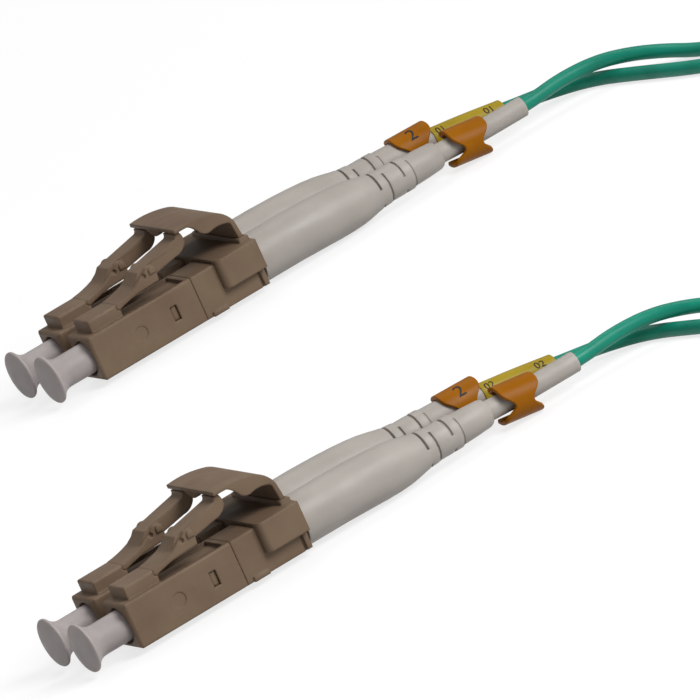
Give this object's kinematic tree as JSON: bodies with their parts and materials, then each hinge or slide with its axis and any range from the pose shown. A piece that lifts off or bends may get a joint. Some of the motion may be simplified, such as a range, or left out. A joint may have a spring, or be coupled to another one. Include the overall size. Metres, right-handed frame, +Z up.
{
  "type": "fiber optic patch cord",
  "caption": "Duplex fibre patch cord: latched square plugs with dust caps, joined in pairs by a clip with a common trigger, slotted boots, and a coiled thin cord.",
  "frame": {"origin": "middle of the surface that the cord lies on, under the box round the two plug ends", "axes": "+X from the plugs towards the cord, +Y from the near plug of an end to the far plug, +Z up, the side of the latches"},
  "size_m": [0.1308, 0.1313, 0.0099],
  "materials": {
    "connector_beige": "moulded, satin",
    "boot_white": "soft matt",
    "cap_white": "moulded, satin",
    "ceramic": "polished ceramic",
    "plated_metal": "nickel plated",
    "spring_steel": "drawn wire",
    "marker_orange": "satin",
    "label_yellow": "printed film",
    "jacket_aqua": "extruded jacket, satin",
    "splitter_grey": "moulded, satin",
    "tie_black": "matt strap"
  },
  "bodies": {
    "cord_set": {"housing_a1": "connector_beige", "rear_body_a1": "connector_beige", "crimp_sleeve_a1": "plated_metal", "boot_a1": "boot_white", "leg_sleeve_a1": "boot_white", "ferrule_spring_a1": "spring_steel", "housing_a2": "connector_beige", "rear_body_a2": "connector_beige", "crimp_sleeve_a2": "plated_metal", "boot_a2": "boot_white", "leg_sleeve_a2": "boot_white", "ferrule_spring_a2": "spring_steel", "duplex_clip_a": "connector_beige", "wrap_label_a": "label_yellow", "housing_b1": "connector_beige", "rear_body_b1": "connector_beige", "crimp_sleeve_b1": "plated_metal", "boot_b1": "boot_white", "leg_sleeve_b1": "boot_white", "ferrule_spring_b1": "spring_steel", "housing_b2": "connector_beige", "rear_body_b2": "connector_beige", "crimp_sleeve_b2": "plated_metal", "boot_b2": "boot_white", "leg_sleeve_b2": "boot_white", "ferrule_spring_b2": "spring_steel", "duplex_clip_b": "connector_beige", "wrap_label_b": "label_yellow", "leg_a1": "jacket_aqua", "leg_a2": "jacket_aqua", "splitter_a": "splitter_grey", "trunk_a": "jacket_aqua", "leg_b1": "jacket_aqua", "leg_b2": "jacket_aqua", "splitter_b": "splitter_grey", "trunk_b": "jacket_aqua", "cord_coil": "jacket_aqua", "cord_tie": "tie_black"},
    "latch_arm_a1": {"latch_a1": "connector_beige"},
    "ferrule_set_a1": {"ferrule_a1": "ceramic", "ferrule_flange_a1": "plated_metal"},
    "cap_a1": {"dust_cap_a1": "cap_white"},
    "marker_a1": {"marker_clip_a1": "marker_orange"},
    "latch_arm_a2": {"latch_a2": "connector_beige"},
    "ferrule_set_a2": {"ferrule_a2": "ceramic", "ferrule_flange_a2": "plated_metal"},
    "cap_a2": {"dust_cap_a2": "cap_white"},
    "marker_a2": {"marker_clip_a2": "marker_orange"},
    "trigger_plate_a": {"trigger_a": "connector_beige"},
    "latch_arm_b1": {"latch_b1": "connector_beige"},
    "ferrule_set_b1": {"ferrule_b1": "ceramic", "ferrule_flange_b1": "plated_metal"},
    "cap_b1": {"dust_cap_b1": "cap_white"},
    "marker_b1": {"marker_clip_b1": "marker_orange"},
    "latch_arm_b2": {"latch_b2": "connector_beige"},
    "ferrule_set_b2": {"ferrule_b2": "ceramic", "ferrule_flange_b2": "plated_metal"},
    "cap_b2": {"dust_cap_b2": "cap_white"},
    "marker_b2": {"marker_clip_b2": "marker_orange"},
    "trigger_plate_b": {"trigger_b": "connector_beige"}
  },
  "joints": [
    {"name": "trigger_press_a", "type": "hinge", "parent": "cord_set", "child": "trigger_plate_a", "pos_m": [0.01495, 0.03895, 0.0059], "axis": [0, -1, 0], "range_deg": [0, 10], "stiffness_Nm_per_rad": 0.03},
    {"name": "trigger_press_b", "type": "hinge", "parent": "cord_set", "child": "trigger_plate_b", "pos_m": [-0.02425, -0.03895, 0.0059], "axis": [0, -1, 0], "range_deg": [0, 10], "stiffness_Nm_per_rad": 0.03},
    {"name": "cap_pull_a1", "type": "slide", "parent": "cord_set", "child": "cap_a1", "axis": [-1, 0, 0], "range_m": [0, 0.01]},
    {"name": "cap_pull_a2", "type": "slide", "parent": "cord_set", "child": "cap_a2", "axis": [-1, 0, 0], "range_m": [0, 0.01]},
    {"name": "cap_pull_b1", "type": "slide", "parent": "cord_set", "child": "cap_b1", "axis": [-1, 0, 0], "range_m": [0, 0.01]},
    {"name": "cap_pull_b2", "type": "slide", "parent": "cord_set", "child": "cap_b2", "axis": [-1, 0, 0], "range_m": [0, 0.01]},
    {"name": "ferrule_float_a1", "type": "slide", "parent": "cord_set", "child": "ferrule_set_a1", "axis": [1, 0, 0], "range_m": [0, 0.0005], "stiffness_N_per_m": 1000, "deforming": ["ferrule_spring_a1"]},
    {"name": "ferrule_float_a2", "type": "slide", "parent": "cord_set", "child": "ferrule_set_a2", "axis": [1, 0, 0], "range_m": [0, 0.0005], "stiffness_N_per_m": 1000, "deforming": ["ferrule_spring_a2"]},
    {"name": "ferrule_float_b1", "type": "slide", "parent": "cord_set", "child": "ferrule_set_b1", "axis": [1, 0, 0], "range_m": [0, 0.0005], "stiffness_N_per_m": 1000, "deforming": ["ferrule_spring_b1"]},
    {"name": "ferrule_float_b2", "type": "slide", "parent": "cord_set", "child": "ferrule_set_b2", "axis": [1, 0, 0], "range_m": [0, 0.0005], "stiffness_N_per_m": 1000, "deforming": ["ferrule_spring_b2"]},
    {"name": "latch_press_a1", "type": "hinge", "parent": "cord_set", "child": "latch_arm_a1", "pos_m": [0.00065, 0.03583, 0.0061], "axis": [0, 1, 0], "range_deg": [0, 7.5]},
    {"name": "latch_press_a2", "type": "hinge", "parent": "cord_set", "child": "latch_arm_a2", "pos_m": [0.00065, 0.04208, 0.0061], "axis": [0, 1, 0], "range_deg": [0, 7.5]},
    {"name": "latch_press_b1", "type": "hinge", "parent": "cord_set", "child": "latch_arm_b1", "pos_m": [-0.03855, -0.04208, 0.0061], "axis": [0, 1, 0], "range_deg": [0, 7.5]},
    {"name": "latch_press_b2", "type": "hinge", "parent": "cord_set", "child": "latch_arm_b2", "pos_m": [-0.03855, -0.03583, 0.0061], "axis": [0, 1, 0], "range_deg": [0, 7.5]},
    {"name": "marker_slide_a1", "type": "slide", "parent": "cord_set", "child": "marker_a1", "axis": [1, 0, 0.0032], "range_m": [-0.0001, 0.0035]},
    {"name": "marker_slide_a2", "type": "slide", "parent": "cord_set", "child": "marker_a2", "axis": [1, 0, 0], "range_m": [-0.0001, 0.001]},
    {"name": "marker_slide_b1", "type": "slide", "parent": "cord_set", "child": "marker_b1", "axis": [1, 0, 0.0032], "range_m": [-0.0001, 0.0035]},
    {"name": "marker_slide_b2", "type": "slide", "parent": "cord_set", "child": "marker_b2", "axis": [1, 0, 0], "range_m": [-0.0001, 0.001]}
  ],
  "couplings": [
    {"joint": "latch_press_a1", "follows": "trigger_press_a", "ratio": 0.75},
    {"joint": "latch_press_a2", "follows": "trigger_press_a", "ratio": 0.75},
    {"joint": "latch_press_b1", "follows": "trigger_press_b", "ratio": 0.75},
    {"joint": "latch_press_b2", "follows": "trigger_press_b", "ratio": 0.75}
  ]
}
